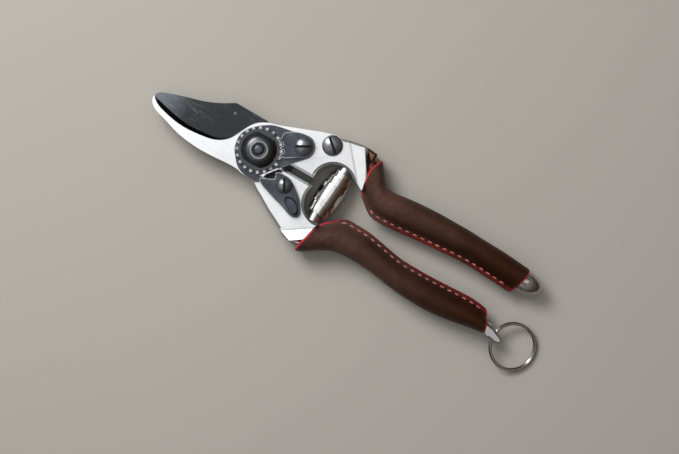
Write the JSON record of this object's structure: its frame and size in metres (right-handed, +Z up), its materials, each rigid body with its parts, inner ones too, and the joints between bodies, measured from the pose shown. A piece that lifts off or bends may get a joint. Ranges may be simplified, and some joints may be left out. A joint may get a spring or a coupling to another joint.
{
  "type": "pruning shears",
  "caption": "Bypass pruning shears with a hooked counter-blade, toothed pivot nut, thumb catch, volute spring, stitched leather grips and a key ring, closed and locked.",
  "frame": {"origin": "on the pivot axis, at the flat underside of the pivot bolt's head, which is the face the shears lie on", "axes": "+Z up the pivot bolt to its nut, +X from the pivot to the handle ends (blade tips at -X), +Y towards the handle that carries the counter-blade"},
  "size_m": [0.2076, 0.0567, 0.0212],
  "materials": {
    "forged_aluminium": "satin forged and tumbled metal",
    "satin_steel": "satin ground steel, dark ground bevel",
    "coated_blade_steel": "dark blue-black low friction coating",
    "bright_steel": "turned steel",
    "black_rubber": "moulded rubber",
    "brown_leather": "dyed vegetable-tanned leather, red-painted cut edges",
    "red_thread": "waxed thread",
    "spring_chrome": "bright plated spring steel",
    "nickel_ring": "nickel-plated steel",
    "blackened_steel": "blackened steel"
  },
  "bodies": {
    "upper_lever": {"upper_handle": "forged_aluminium", "counter_blade": "satin_steel", "tang_screw": "blackened_steel", "tang_nut": "blackened_steel", "toothed_segment": "blackened_steel", "segment_screw": "blackened_steel", "lock_plate": "blackened_steel", "pivot_bolt": "bright_steel", "pivot_nut": "blackened_steel", "thrust_washer": "bright_steel", "bumper": "black_rubber", "upper_sleeve": "brown_leather", "upper_stitching": "red_thread", "volute_spring": "spring_chrome"},
    "lower_lever": {"lower_handle": "forged_aluminium", "cutting_blade": "coated_blade_steel", "blade_rivets": "bright_steel", "pivot_bushing": "bright_steel", "catch_screw": "blackened_steel", "catch_washer": "blackened_steel", "lower_sleeve": "brown_leather", "lower_stitching": "red_thread"},
    "catch": {"thumb_catch": "blackened_steel"},
    "ring": {"key_ring": "nickel_ring"}
  },
  "joints": [
    {"name": "shear_pivot", "type": "hinge", "parent": "upper_lever", "child": "lower_lever", "pos_m": [0, 0, 0], "axis": [0, 0, 1], "range_deg": [-35, 0], "deforming": ["volute_spring"]},
    {"name": "catch_pivot", "type": "hinge", "parent": "lower_lever", "child": "catch", "pos_m": [0.0177, -0.008, 0], "axis": [0, 0, 1], "range_deg": [0, 25]},
    {"name": "ring_swing", "type": "hinge", "parent": "lower_lever", "child": "ring", "pos_m": [0.133, -0.0196, 0.0066], "axis": [0, 1, 0], "range_deg": [-95, 0]}
  ]
}
